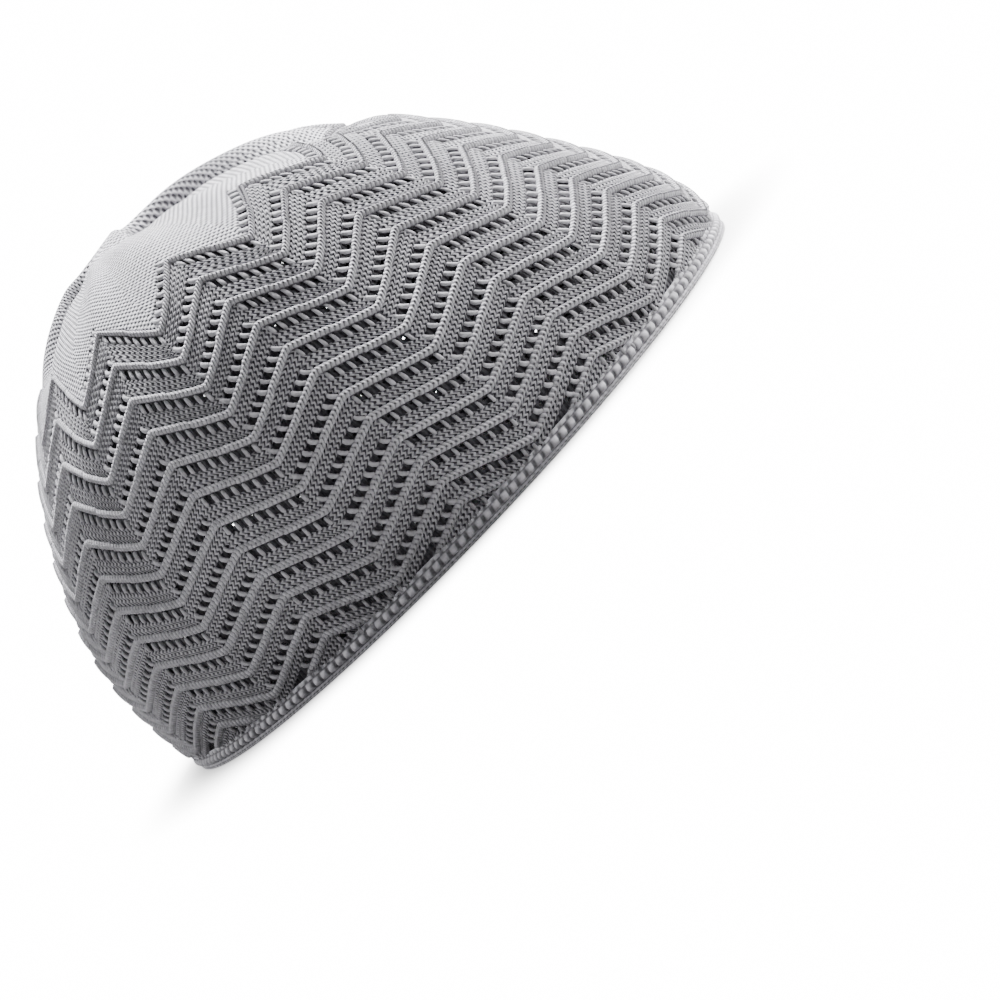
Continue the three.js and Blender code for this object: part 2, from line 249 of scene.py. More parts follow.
class Cap:
    """The cap's surface as functions of the turn round it and the share of the way up to its tip."""

    def __init__(self, values):
        self.length = values.rim_length / MM
        self.width = values.rim_width / MM
        self.height = values.cap_height / MM
        self.rows = np.arange((len(SECTIONS) - 1) * SECTION_STEPS + 1) / SECTION_STEPS
        marks = section_at(self.rows)
        climb = np.diff(marks[:, 0]) * self.height
        inward = np.diff(marks[:, 3]) * self.width / 2
        self.lengths = np.concatenate([[0.0], np.cumsum(np.hypot(climb, inward))])
        self.profile = self.lengths[-1]
        self.band_top = BAND_HEIGHT / self.profile

    def dome(self, turn, along):
        """The smooth cap without folds."""
        row = np.interp(np.clip(along, 0, 1) * self.profile, self.lengths, self.rows)
        section = section_at(row)
        back = section[..., 1] * self.length / 2
        front = section[..., 2] * self.length / 2
        side = section[..., 3] * self.width / 2
        place = np.clip(along, 0, TURN_TOP)
        spread = np.polyval(TURN_SPREAD[::-1], place)
        shift = np.polyval(TURN_SHIFT[::-1], place)
        angle = 2 * np.pi * turn
        angle = angle + spread * np.sin(2 * angle) - shift * np.sin(angle)
        x = (front - back) / 2 + (front + back) / 2 * np.cos(angle)
        return np.stack([x, side * np.sin(angle), section[..., 0] * self.height], axis=-1)

    def outward(self, surface, turn, along):
        """The direction off a surface, which is level at the rim."""
        step = 0.002
        place = np.minimum(along, 1 - 4 * step)
        across = surface(turn + step, place) - surface(turn - step, place)
        up = surface(turn, place + step) - surface(turn, np.maximum(place - step, 0))
        normal = np.cross(across, up)
        normal /= np.linalg.norm(normal, axis=-1, keepdims=True)
        normal[..., 2] *= smoothstep(place * self.profile, 0, BAND_HEIGHT)
        return normal / np.linalg.norm(normal, axis=-1, keepdims=True)

    def fold_depth(self, turn, along):
        """How deep the folds lie below the smooth cap, in millimetres."""
        depth = np.zeros_like(turn)
        for place, spread, deep, foot, full, late, head, widen, lean in FOLDS:
            wide = spread * (1 + widen * smoothstep(along, 0.8, 0.98))
            offset = (turn - place - np.round(turn - place)) / wide
            valley = np.exp(-((np.abs(offset) / 0.85) ** 4))
            banks = np.exp(-(((offset - 1.15) / 0.5) ** 2)) - 2.0 * np.exp(-(((offset + 1.25) / 0.6) ** 2))
            present = smoothstep(along, foot, full) * (1 - smoothstep(along, late, head))
            depth += (deep * valley - lean * banks) * present
        return depth

    def cloth(self, turn, along):
        """The cap with its folds and the slight swelling of its gores."""
        gore_swell = 0.5
        swell = smoothstep(along, 0.55, 0.8) * (1 - smoothstep(along, 0.8, 0.97))
        relief = gore_swell * np.cos(2 * np.pi * ZIGZAGS * turn) * swell - self.fold_depth(turn, along)
        return self.dome(turn, along) + self.outward(self.dome, turn, along) * relief[..., None]

    def raised(self, turn, along, height):
        """Points at a height off the cloth, in millimetres."""
        turn, along, height = np.broadcast_arrays(turn, along, height)
        return self.cloth(turn, along) + self.outward(self.cloth, turn, along) * height[..., None]

    def tip(self, rise):
        """The point where all the gores meet, raised by some millimetres."""
        point = self.raised(np.zeros(1), np.array([1.0]), np.zeros(1))[0]
        point[2] += rise
        return point

    def girth(self, along):
        """The length round the cap at a height, in millimetres."""
        turn = np.linspace(0, 1, 241)
        ring = self.dome(turn, np.full_like(turn, along))
        return float(np.sum(np.linalg.norm(np.diff(ring, axis=0), axis=1)))


def zigzag_share(turn):
    """From 0 at the low corners to 1 at the high ones, with a little rounding at both."""
    phase = turn * ZIGZAGS
    away = 2 * np.abs(phase - np.round(phase))
    rounding = 0.035
    sharp = 1 - away
    low = np.sqrt(sharp**2 + rounding**2) - rounding * 0.5
    high = 1 - np.sqrt((1 - sharp) ** 2 + rounding**2) + rounding * 0.5
    return np.where(sharp < 0.5, low, high)


def rib_along(row, turn):
    """How far up a rib's middle lies, as a share of the way to the tip."""
    low, high = RIB_ROWS[row][:2]
    return low + (high - low) * zigzag_share(turn)


def rib_middle(row):
    """How far up a rib lies halfway between its corners."""
    return rib_along(row, np.array([0.5 / HALVES]))[0]


def eyelet_height(row):
    """The eyelets' height beside a rib, in millimetres, greater towards the crown."""
    growth = 0.4
    return settings().eyelet_height / MM * (1 + growth * row / (len(RIB_ROWS) - 1))


def in_eyelets(climb, rib_edge, eyelet):
    """Whether a height beside a rib's middle lies in its eyelets, in millimetres."""
    return (climb > rib_edge - UNDER_RIB) & (climb < rib_edge + eyelet)


def beside_eyelets(climb, rib_edge, eyelet):
    """1 from a rib to the end of its eyelets, falling to 0 just past them."""
    return 1 - smoothstep(climb, rib_edge + eyelet, rib_edge + eyelet + EYELET_FADE)


def from_corner(half, girth):
    """The way round to the nearest corner of the zigzags, in millimetres."""
    return np.minimum(np.mod(half, 1), 1 - np.mod(half, 1)) * girth / HALVES


def falling(turn):
    """1 in the middle of a zigzag's falling half, 0 at its corners and on the rising half."""
    half = np.mod(turn * HALVES, 2)
    return smoothstep(half, 0.0, 0.3) * (1 - smoothstep(half, 0.7, 1.0))


# Meshes

def read_points(mesh):
    points = np.empty(len(mesh.vertices) * 3)
    mesh.vertices.foreach_get("co", points)
    return points.reshape(-1, 3)


def place_points(mesh, points):
    mesh.vertices.foreach_set("co", (points * MM).ravel())
    mesh.update()


def grid_mesh(name, columns, rows):
    """A flat grid as a mesh, with the column and row number of each point."""
    bm = bmesh.new()
    bmesh.ops.create_grid(bm, x_segments=columns, y_segments=rows, size=1.0)
    mesh = bpy.data.meshes.new(name)
    bm.to_mesh(mesh)
    bm.free()
    flat = read_points(mesh)
    column = np.rint((flat[:, 0] + 1) / 2 * columns)
    row = np.rint((flat[:, 1] + 1) / 2 * rows)
    return mesh, column, row


def face_corners(mesh):
    """The number of the point at each corner of each face."""
    corner = np.empty(len(mesh.loops), dtype=np.int32)
    mesh.loops.foreach_get("vertex_index", corner)
    return corner


def write_corner_uv(mesh, u, v):
    layer = mesh.uv_layers.new(name="knit")
    layer.data.foreach_set("uv", np.stack([u, v], axis=-1).ravel())


def write_uv(mesh, u, v):
    """Gives each point's own u and v to the mesh's UV map."""
    corner = face_corners(mesh)
    write_corner_uv(mesh, u[corner], v[corner])


def write_mask(mesh, name, values):
    mask = mesh.attributes.new(name, "FLOAT", "POINT")
    mask.data.foreach_set("value", np.asarray(values, dtype=np.float32))


def face_means(mesh, values):
    """The mean of a value over the corners of each quad."""
    return values[face_corners(mesh)].reshape(len(mesh.polygons), -1).mean(axis=1)


def whole_faces(mesh, marked):
    """The faces that have all of their corners marked."""
    return face_means(mesh, marked.astype(float)) > WHOLE


def close_ring(mesh, column, columns, drop=None):
    """Drops the faces that are marked, and welds the last column of a ring to its first."""
    bm = bmesh.new()
    bm.from_mesh(mesh)
    bm.verts.ensure_lookup_table()
    bm.faces.ensure_lookup_table()
    seam = [bm.verts[i] for i in np.flatnonzero((column == 0) | (column == columns))]
    if drop is not None and drop.any():
        bmesh.ops.delete(bm, geom=[bm.faces[i] for i in np.flatnonzero(drop)], context="FACES")
        seam = [v for v in seam if v.is_valid]
    bmesh.ops.remove_doubles(bm, verts=seam, dist=SEAM_WELD)
    bm.to_mesh(mesh)
    bm.free()


def close_tip(mesh, tip, turn_over=False):
    """Welds the points gathered at the tip, after its faces are turned over where that is asked for."""
    bm = bmesh.new()
    bm.from_mesh(mesh)
    if turn_over:
        bmesh.ops.reverse_faces(bm, faces=bm.faces[:])
    peak = [v for v in bm.verts if v.co.z > (tip[2] - TIP_REACH) * MM]
    bmesh.ops.remove_doubles(bm, verts=peak, dist=TIP_WELD)
    bm.to_mesh(mesh)
    bm.free()


def drop_points(mesh, drop):
    """Deletes the points that are marked, with their faces."""
    if not drop.any():
        return
    bm = bmesh.new()
    bm.from_mesh(mesh)
    bm.verts.ensure_lookup_table()
    bmesh.ops.delete(bm, geom=[bm.verts[i] for i in np.flatnonzero(drop)], context="VERTS")
    bm.to_mesh(mesh)
    bm.free()


def add_piece(name, mesh, material):
    """Makes a finished mesh one of the cap's pieces, in the place of its plain solid."""
    mesh.polygons.foreach_set("use_smooth", np.ones(len(mesh.polygons), dtype=bool))
    mesh.materials.append(material)
    mesh.update()
    piece = bpy.data.objects.new(name, mesh)
    bpy.context.scene.collection.objects.link(piece)
    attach(piece, "root")
    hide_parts("knit_cap")


# Node groups and materials

def new_group(name, inputs, outputs):
    """A shader node group with named sockets, and its input and output nodes."""
    group = bpy.data.node_groups.new(name, "ShaderNodeTree")
    for label, kind, default in inputs:
        socket = group.interface.new_socket(name=label, in_out="INPUT", socket_type=kind)
        if default is not None:
            socket.default_value = default
    for label, kind in outputs:
        group.interface.new_socket(name=label, in_out="OUTPUT", socket_type=kind)
    return group, group.nodes.new("NodeGroupInput"), group.nodes.new("NodeGroupOutput")


def math_node(tree, operation, first, second=None, clamp=False):
    node = tree.nodes.new("ShaderNodeMath")
    node.operation = operation
    node.use_clamp = clamp
    for index, value in enumerate((first, second)):
        if value is None:
            continue
        if isinstance(value, (int, float)):
            node.inputs[index].default_value = value
        else:
            tree.links.new(value, node.inputs[index])
    return node.outputs[0]


def range_node(tree, value, low, high, to_low, to_high):
    """A value eased from one range to another, and held at its ends."""
    node = tree.nodes.new("ShaderNodeMapRange")
    node.interpolation_type = "SMOOTHSTEP"
    tree.links.new(value, node.inputs["Value"])
    for label, number in (("From Min", low), ("From Max", high), ("To Min", to_low), ("To Max", to_high)):
        node.inputs[label].default_value = number
    return node.outputs["Result"]


def color_mix(tree, factor, first, second):
    node = tree.nodes.new("ShaderNodeMix")
    node.data_type = "RGBA"
    for index, value in ((0, factor), (6, first), (7, second)):
        if isinstance(value, tuple):
            node.inputs[index].default_value = value
        else:
            tree.links.new(value, node.inputs[index])
    return node.outputs[2]


def yarn_tone_group():
    """Slow and fine changes of the yarn's colour over the cap, with painted shade mixed in where Gap is set.
    """
    name = "Yarn tone"
    if name in bpy.data.node_groups:
        return bpy.data.node_groups[name]
    inputs = [("Color", "NodeSocketColor", (0.3, 0.3, 0.3, 1))]
    inputs += [("Shade", "NodeSocketColor", (0.02, 0.02, 0.02, 1)), ("Gap", "NodeSocketFloat", 0.0)]
    outputs = [("Color", "NodeSocketColor"), ("Roughness", "NodeSocketFloat")]
    group, start, end = new_group(name, inputs, outputs)
    place = group.nodes.new("ShaderNodeTexCoord")
    broad = group.nodes.new("ShaderNodeTexNoise")
    broad.inputs["Scale"].default_value = 28
    broad.inputs["Detail"].default_value = 3
    group.links.new(place.outputs["Object"], broad.inputs["Vector"])
    fine = group.nodes.new("ShaderNodeTexNoise")
    fine.inputs["Scale"].default_value = 700
    fine.inputs["Detail"].default_value = 2
    group.links.new(place.outputs["Object"], fine.inputs["Vector"])
    broad_value = range_node(group, broad.outputs["Fac"], 0.3, 0.7, 0.9, 1.08)
    fine_value = range_node(group, fine.outputs["Fac"], 0.25, 0.75, 0.8, 1.22)
    value = math_node(group, "MULTIPLY", broad_value, fine_value)
    tinted = group.nodes.new("ShaderNodeHueSaturation")
    group.links.new(start.outputs["Color"], tinted.inputs["Color"])
    group.links.new(value, tinted.inputs["Value"])
    saturation = range_node(group, fine.outputs["Color"], 0.3, 0.7, 0.7, 1.3)
    group.links.new(saturation, tinted.inputs["Saturation"])
    mixed = color_mix(group, start.outputs["Gap"], tinted.outputs["Color"], start.outputs["Shade"])
    group.links.new(mixed, end.inputs["Color"])
    rough = range_node(group, fine.outputs["Fac"], 0.3, 0.7, 0.78, 0.92)
    group.links.new(rough, end.inputs["Roughness"])
    return group


def ply_twist_group():
    """The fine slanted plies of a yarn, as a height, along a knitted row's own coordinates."""
    name = "Ply twist"
    if name in bpy.data.node_groups:
        return bpy.data.node_groups[name]
    inputs = [("Vector", "NodeSocketVector", None), ("Across", "NodeSocketFloat", 3.0)]
    inputs += [("Lengthwise", "NodeSocketFloat", 5.0)]
    group, start, end = new_group(name, inputs, [("Height", "NodeSocketFloat")])
    split = group.nodes.new("ShaderNodeSeparateXYZ")
    group.links.new(start.outputs["Vector"], split.inputs[0])
    across = math_node(group, "MULTIPLY", split.outputs["X"], start.outputs["Across"])
    lengthwise = math_node(group, "MULTIPLY", split.outputs["Y"], start.outputs["Lengthwise"])
    slant = math_node(group, "ADD", across, lengthwise)
    wave = math_node(group, "SINE", math_node(group, "MULTIPLY", slant, 2 * math.pi))
    group.links.new(wave, end.inputs["Height"])
    return group


def knit_gap_group():
    """Painted shade in the gaps between upright yarns, deepest at one dot a stitch, and the yarns' rounded
    height.
    """
    name = "Knit gaps"
    if name in bpy.data.node_groups:
        return bpy.data.node_groups[name]
    inputs = [("Vector", "NodeSocketVector", None), ("Softness", "NodeSocketFloat", 0.0)]
    group, start, end = new_group(name, inputs, [("Gap", "NodeSocketFloat"), ("Height", "NodeSocketFloat")])
    split = group.nodes.new("ShaderNodeSeparateXYZ")
    group.links.new(start.outputs["Vector"], split.inputs[0])
    turn = math_node(group, "MULTIPLY", split.outputs["X"], 2 * math.pi)
    rounded = math_node(group, "COSINE", turn)
    wave = math_node(group, "COSINE", math_node(group, "MULTIPLY", split.outputs["Y"], 2 * math.pi))
    dot = range_node(group, wave, -0.6, 0.6, 0.72, 1.0)
    valley = range_node(group, rounded, 0.42, -0.32, 0.0, 1.0)
    gap = math_node(group, "MULTIPLY", valley, dot)
    keep = math_node(group, "SUBTRACT", 1.0, start.outputs["Softness"])
    group.links.new(math_node(group, "MULTIPLY", gap, keep, clamp=True), end.inputs["Gap"])
    dip = math_node(group, "MULTIPLY", dot, -0.4)
    height = math_node(group, "ADD", rounded, math_node(group, "MULTIPLY", valley, dip))
    group.links.new(height, end.inputs["Height"])
    return group


def plain_knit_group():
    """Small dots of painted shade between plain stitches, set like bricks, and the stitches' rounded height.
    """
    name = "Plain knit"
    if name in bpy.data.node_groups:
        return bpy.data.node_groups[name]
    inputs = [("Vector", "NodeSocketVector", None)]
    group, start, end = new_group(name, inputs, [("Gap", "NodeSocketFloat"), ("Height", "NodeSocketFloat")])
    split = group.nodes.new("ShaderNodeSeparateXYZ")
    group.links.new(start.outputs["Vector"], split.inputs[0])
    across = math_node(group, "COSINE", math_node(group, "MULTIPLY", split.outputs["X"], 2 * math.pi))
    lengthwise = math_node(group, "COSINE", math_node(group, "MULTIPLY", split.outputs["Y"], 2 * math.pi))
    bricks = math_node(group, "MULTIPLY", across, lengthwise)
    group.links.new(range_node(group, bricks, -0.1, 0.5, 0.0, 1.0), end.inputs["Gap"])
    group.links.new(math_node(group, "MULTIPLY", bricks, -1.0), end.inputs["Height"])
    return group


def rib_chain_group():
    """The two strands of a rib's chain: slanted legs, with painted shade in a dot where two pairs of legs
    meet, between the legs and along the rib's edges.
    """
    name = "Rib chain"
    if name in bpy.data.node_groups:
        return bpy.data.node_groups[name]
    inputs = [("Vector", "NodeSocketVector", None)]
    group, start, end = new_group(name, inputs, [("Gap", "NodeSocketFloat"), ("Height", "NodeSocketFloat")])
    split = group.nodes.new("ShaderNodeSeparateXYZ")
    group.links.new(start.outputs["Vector"], split.inputs[0])
    off = math_node(group, "ABSOLUTE", split.outputs["Y"])
    leg = math_node(group, "ADD", split.outputs["X"], math_node(group, "MULTIPLY", off, 0.6))
    legs = math_node(group, "COSINE", math_node(group, "MULTIPLY", leg, 2 * math.pi))
    chain = math_node(group, "COSINE", math_node(group, "MULTIPLY", split.outputs["X"], 2 * math.pi))
    middle = range_node(group, off, 0.1, 0.36, 0.8, 0.0)
    dots = math_node(group, "MULTIPLY", middle, range_node(group, chain, 0.1, -0.7, 0.0, 1.0))
    # Painted shade between the legs.
    leg_shade = range_node(group, legs, -0.2, -1.0, 0.0, 0.5)
    # Painted shadow lines along both edges of the rib.
    edge = range_node(group, off, 0.8, 1.0, 0.0, 0.8)
    gap = math_node(group, "MAXIMUM", math_node(group, "MAXIMUM", dots, leg_shade), edge)
    group.links.new(gap, end.inputs["Gap"])
    height = math_node(group, "SUBTRACT", legs, math_node(group, "MULTIPLY", dots, 1.2))
    group.links.new(height, end.inputs["Height"])
    return group


def yarn_material(name, pattern, relief, twist, softness=0.0, gap_limit=1.0, painted_light_scale=1.0):
    """The grey yarn with one of the knit patterns on the piece's own UV map, darkened with painted shade in
    the pattern's gaps and in the piece's point mask of painted shade.
    """
    material = bpy.data.materials.new(name)
    material.use_nodes = True
    tree = material.node_tree
    shader = tree.nodes["Principled BSDF"]
    uv = tree.nodes.new("ShaderNodeUVMap")
    uv.uv_map = "knit"
    knit = tree.nodes.new("ShaderNodeGroup")
    knit.node_tree = pattern
    tree.links.new(uv.outputs["UV"], knit.inputs["Vector"])
    if "Softness" in knit.inputs:
        knit.inputs["Softness"].default_value = softness
    # The point mask that each piece writes holds painted shade.
    mask = tree.nodes.new("ShaderNodeAttribute")
    mask.attribute_name = "painted_shade"
    knit_gap = math_node(tree, "MULTIPLY", knit.outputs["Gap"], gap_limit)
    unshaded = math_node(tree, "SUBTRACT", 1.0, mask.outputs["Fac"])
    lit = math_node(tree, "MULTIPLY", math_node(tree, "SUBTRACT", 1.0, knit_gap), unshaded)
    gap = math_node(tree, "SUBTRACT", 1.0, lit, clamp=True)
    tone = tree.nodes.new("ShaderNodeGroup")
    tone.node_tree = yarn_tone_group()
    # The yarn's colour is scaled for this piece: painted light where the scale is above 1, painted shade
    # where it is below 1, as lighter and darker copies of the one yarn.
    tone.inputs["Color"].default_value = (*(part * painted_light_scale for part in settings().yarn_color), 1)
    tone.inputs["Shade"].default_value = (*settings().shade_color, 1)
    tree.links.new(gap, tone.inputs["Gap"])
    tree.links.new(tone.outputs["Color"], shader.inputs["Base Color"])
    tree.links.new(tone.outputs["Roughness"], shader.inputs["Roughness"])
    ply = tree.nodes.new("ShaderNodeGroup")
    ply.node_tree = ply_twist_group()
    tree.links.new(uv.outputs["UV"], ply.inputs["Vector"])
    plies = math_node(tree, "MULTIPLY", ply.outputs["Height"], twist)
    height = math_node(tree, "ADD", knit.outputs["Height"], plies)
    bump = tree.nodes.new("ShaderNodeBump")
    bump.inputs["Strength"].default_value = 1.0
    bump.inputs["Distance"].default_value = relief
    tree.links.new(height, bump.inputs["Height"])
    tree.links.new(bump.outputs["Normal"], shader.inputs["Normal"])
    shader.inputs["Specular IOR Level"].default_value = 0.3
    shader.inputs["Sheen Weight"].default_value = 0.12
    shader.inputs["Sheen Roughness"].default_value = 0.5
    shader.inputs["Sheen Tint"].default_value = (0.8, 0.8, 0.85, 1)
    return material


# The pieces

def ground_row(cap, row, material):
    """The knitted ground between one rib and the next, with gaps for its eyelets."""
    least_rows = 8
    points_a_wave = 4
    rising_lean = 0.09
    crest, trough = 0.26, -0.2
    eyelet_dip, eyelet_shade = 0.7, 0.35
    over_band, under_band = 0.3, 0.6
    values = settings()
    wave_length = values.wave_length / MM
    has_lower = row >= 0
    columns = HALVES * RIB_ROWS[max(row, 0)][2] * 2
    middle = rib_middle(row) if has_lower else 0.0
    upper_middle = rib_middle(row + 1)
    gap = (upper_middle - middle) * cap.profile if has_lower else FIRST_GAP
    reach = gap - 2 * SHEET_START
    rows = max(least_rows, int(round(reach / (wave_length / points_a_wave))))
    name = f"ground_{row + 1:02d}"
    mesh, column, line = grid_mesh(name, columns, rows)
    climb = SHEET_START + reach * line / rows
    plain_turn = column / columns
    girth = cap.girth((middle + upper_middle) / 2)
    wave = climb / wave_length
    swing = (4 * np.abs(np.mod(wave, 1.0) - 0.5) - 1) * values.wave_swing / MM
    fall = falling(plain_turn)
    lean = -math.tan(values.yarn_lean) * (climb - gap / 2) * fall
    rise = rising_lean * (climb - gap / 2) * (1 - fall)
    turn = plain_turn + (lean + rise + swing) / girth
    upper = rib_along(row + 1, turn)
    lower = rib_along(row, turn) if has_lower else upper - gap / cap.profile
    along = lower + (upper - lower) * (climb / gap)
    relief = np.where(np.mod(column, 2) == 0, crest, trough)
    edge = np.minimum(climb - SHEET_START, SHEET_START + reach - climb)
    relief = relief - EDGE_DIP * (1 - smoothstep(edge, 0.0, EDGE_WIDTH))
    eyelet = eyelet_height(row + 0.5)
    rib_edge = values.rib_width / MM / 2
    half = np.mod(plain_turn * HALVES, 2)
    into = from_corner(half, girth)
    rising = half > 1
    low_hole = in_eyelets(climb, rib_edge, eyelet) & rising & has_lower
    high_hole = in_eyelets(gap - climb, rib_edge, eyelet) & ~rising
    above_band = (upper - cap.band_top) * cap.profile > rib_edge + eyelet + over_band
    hole = (low_hole | high_hole) & (into > CORNER_KEPT) & above_band
    rim = np.where(rising & has_lower, beside_eyelets(climb, rib_edge, eyelet), 0.0)
    rim = np.where(~rising, beside_eyelets(gap - climb, rib_edge, eyelet), rim)
    clear = smoothstep(into, *CORNER_FADE)
    relief = relief - eyelet_dip * rim * clear
    place_points(mesh, cap.raised(turn, along, relief))
    write_uv(mesh, column / 2, wave)
    # Painted shade beside the eyelets.
    write_mask(mesh, "painted_shade", eyelet_shade * rim * clear)
    sunk = face_means(mesh, along) < cap.band_top - under_band / cap.profile
    close_ring(mesh, column, columns, whole_faces(mesh, hole) | sunk)
    add_piece(name, mesh, material)


def rib_chain(cap, row, material):
    """One zigzag rib: a chain of slanted legs on both sides of a low middle."""
    points_a_stitch = 4
    across = 5
    laid_width = 0.92
    foot, arch = -0.5, 0.75
    middle_width, middle_dip = 0.22, 0.25
    leg_slant, leg_height = 0.6, 0.22
    band_fade, band_start, band_dip, under_band = 1.3, 0.3, 0.6, 0.9
    values = settings()
    columns = HALVES * values.rib_stitches * points_a_stitch
    name = f"rib_{row + 1:02d}"
    mesh, column, line = grid_mesh(name, columns, across)
    side = np.sin(math.pi * (line / across - 0.5))
    turn = column / columns
    half_width = values.rib_width / MM / 2 * laid_width
    along = rib_along(row, turn) + side * half_width / cap.profile
    stitch = column / points_a_stitch
    body = np.sqrt(np.clip(1 - side**2, 0, 1))
    middle = np.exp(-((side / middle_width) ** 2))
    legs = np.cos(2 * np.pi * (stitch + leg_slant * np.abs(side)))
    top = values.rib_height / MM
    height = foot + (top + arch) * body - middle_dip * middle + leg_height * legs * body
    clear = np.clip((along - cap.band_top) * cap.profile / band_fade + band_start, 0, 1)
    height = height * clear - band_dip * (1 - clear)
    place_points(mesh, cap.raised(turn, along, height))
    write_uv(mesh, stitch, side)
    write_mask(mesh, "painted_shade", np.zeros_like(side))
    close_ring(mesh, column, columns, face_means(mesh, along) < cap.band_top - under_band / cap.profile)
    add_piece(name, mesh, material)


def lobe_points():
    """One ball as the form of a stub of yarn, along Z from -1 to 1, and its points."""
    bm = bmesh.new()
    bmesh.ops.create_uvsphere(bm, u_segments=7, v_segments=5, radius=1.0)
    mesh = bpy.data.meshes.new("lobe")
    bm.to_mesh(mesh)
    bm.free()
    return mesh, read_points(mesh)


def bow(share, start, bend, end):
    """A curve from start to end that is drawn towards bend, and its slope."""
    place = (1 - share) ** 2 * start + 2 * share * (1 - share) * bend + share**2 * end
    slope = 2 * (1 - share) * (bend - start) + 2 * share * (end - bend)
    return place, slope


def lobes(cap, row, climbing, material):
    """The stubs of yarn between a row's eyelets: leaves over a rising rib, knobs under a falling one."""
    drawn_height = 2.1
    ring_height, bar_width = 0.5, 1.4
    uneven_size, uneven_place = 0.06, 0.1
    flatness, end_dip = 0.85, 0.25
    over_band = 0.5
    first_seed = 40
    girth = cap.girth(rib_middle(row))
    eyelets = settings().eyelets
    halves = [half for half in range(HALVES) if (half % 2 == 1) == climbing]
    spots = [half + (number + 0.5) / eyelets for half in halves for number in range(eyelets)]
    centres = np.array(spots) / HALVES
    template, form = lobe_points()
    point = np.tile(form, (len(centres), 1))
    centre = np.repeat(centres, len(form))
    rng = np.random.default_rng(first_seed + row * 2 + int(climbing))
    jitter = np.repeat(rng.normal(0, 1, (len(centres), 3)), len(form), axis=0)
    share = (point[:, 2] + 1) / 2
    # The rings next to the poles are widened, which makes a bar with round ends of the ball.
    point[:, :2] *= np.where(np.abs(point[:, 2]) > ring_height, bar_width, 1.0)[:, None]
    reach = eyelet_height(row) - drawn_height
    if climbing:
        start, bend, end = (-1.0, 3.7 + reach), (-0.7, 1.9 + reach / 2), (1.0, 0.9)
        thick, taper, lift = 0.62, 0.1, 0.1
    else:
        start, bend, end = (-0.2, -3.8 - reach), (0.0, -2.7 - reach), (-0.2, -1.3)
        thick, taper, lift = 0.6, 0.08, 0.05
    curve_s, slope_s = bow(share, start[0], bend[0], end[0])
    curve_t, slope_t = bow(share, start[1], bend[1], end[1])
    size = np.hypot(slope_s, slope_t)
    thick = (thick - taper * share) * (1 + uneven_size * jitter[:, 0])
    across_s = curve_s + point[:, 0] * thick * slope_t / size + uneven_place * jitter[:, 1]
    across_t = curve_t - point[:, 0] * thick * slope_s / size
    turn = centre + across_s / girth
    along = rib_along(row, turn) + across_t / cap.profile
    height = lift + point[:, 1] * thick * flatness - end_dip * (1 - np.sin(np.pi * np.clip(share, 0, 1)))
    bm = bmesh.new()
    for _ in centres:
        bm.from_mesh(template)
    name = f"{'leaves' if climbing else 'knobs'}_{row + 1:02d}"
    mesh = bpy.data.meshes.new(name)
    bm.to_mesh(mesh)
    bm.free()
    bpy.data.meshes.remove(template)
    place_points(mesh, cap.raised(turn, along, height))
    write_uv(mesh, np.arctan2(point[:, 1], point[:, 0]) / math.pi, share * 2)
    write_mask(mesh, "painted_shade", np.zeros(len(point)))
    sunk = rib_along(row, centres) < cap.band_top + over_band / cap.profile
    drop_points(mesh, np.repeat(sunk, len(form)))
    add_piece(name, mesh, material)


def crown(cap, material):
    """The plain crown above the last rib, in twelve gores, up to the closed tip."""
    last = len(RIB_ROWS) - 1
    columns_a_half = 24
    step, past_eyelets, far = 0.43, 0.9, 62
    level = 0.15
    eyelet_dip, eyelet_shade = 0.6, 0.3
    stitch_width = 1.9
    foot_share = 0.6
    tip_rise = 0.15
    values = settings()
    columns = HALVES * columns_a_half
    rib_edge = values.rib_width / MM / 2
    eyelet = eyelet_height(last)
    near = int(round((rib_edge + eyelet + past_eyelets - SHEET_START) / step))
    mesh, column, line = grid_mesh("crown", columns, near + far)
    turn = column / columns
    first = SHEET_START + step * np.minimum(line, near)
    base = rib_along(last, turn) + first / cap.profile
    along = base + (1 - base) * (np.maximum(line - near, 0) / far)
    half = np.mod(turn * HALVES, 2)
    rising = half > 1
    into = from_corner(half, cap.girth(0.64))
    hole = in_eyelets(first, rib_edge, eyelet) & rising & (into > CORNER_KEPT) & (line < near)
    edge = 1 - smoothstep(first, SHEET_START, SHEET_START + EDGE_WIDTH)
    rim = beside_eyelets(first, rib_edge, eyelet) * rising
    relief = level - EDGE_DIP * edge - eyelet_dip * rim * smoothstep(into, *CORNER_FADE)
    points = cap.raised(turn, np.minimum(along, 1.0), relief)
    tip = cap.tip(tip_rise)
    points[line == near + far] = tip
    place_points(mesh, points)
    corner = face_corners(mesh)
    gore = np.round(np.repeat(face_means(mesh, column), 4) / columns * ZIGZAGS) / ZIGZAGS
    rings = np.linspace(0.55, 1.0, 91)
    girths = np.array([cap.girth(ring) for ring in rings])
    local = (turn[corner] - gore) * np.interp(along[corner], rings, girths)
    climb = (along[corner] - foot_share) * cap.profile / (values.wave_length / MM)
    write_corner_uv(mesh, local / stitch_width, climb)
    place, spread = FOLDS[0][:2]
    offset = (turn - place - np.round(turn - place)) / spread
    # Painted shade beside the eyelets and on the far bank of the front fold.
    write_mask(mesh, "painted_shade", np.clip(eyelet_shade * rim + fold_shade(along, offset), 0, 1))
    close_ring(mesh, column, columns, whole_faces(mesh, hole))
    close_tip(mesh, tip)
    add_piece("crown", mesh, material)


def fold_shade(along, offset):
    """The shade on the far bank of the front fold, at offsets in shares of the fold's spread."""
    deepest = 0.6
    bank = smoothstep(offset, -0.5, 0.2) * (1 - smoothstep(offset, 1.3, 2.0))
    return deepest * smoothstep(along, 0.7, 0.8) * bank


def bell(value, middle, width):
    return np.exp(-(((value - middle) / width) ** 2))


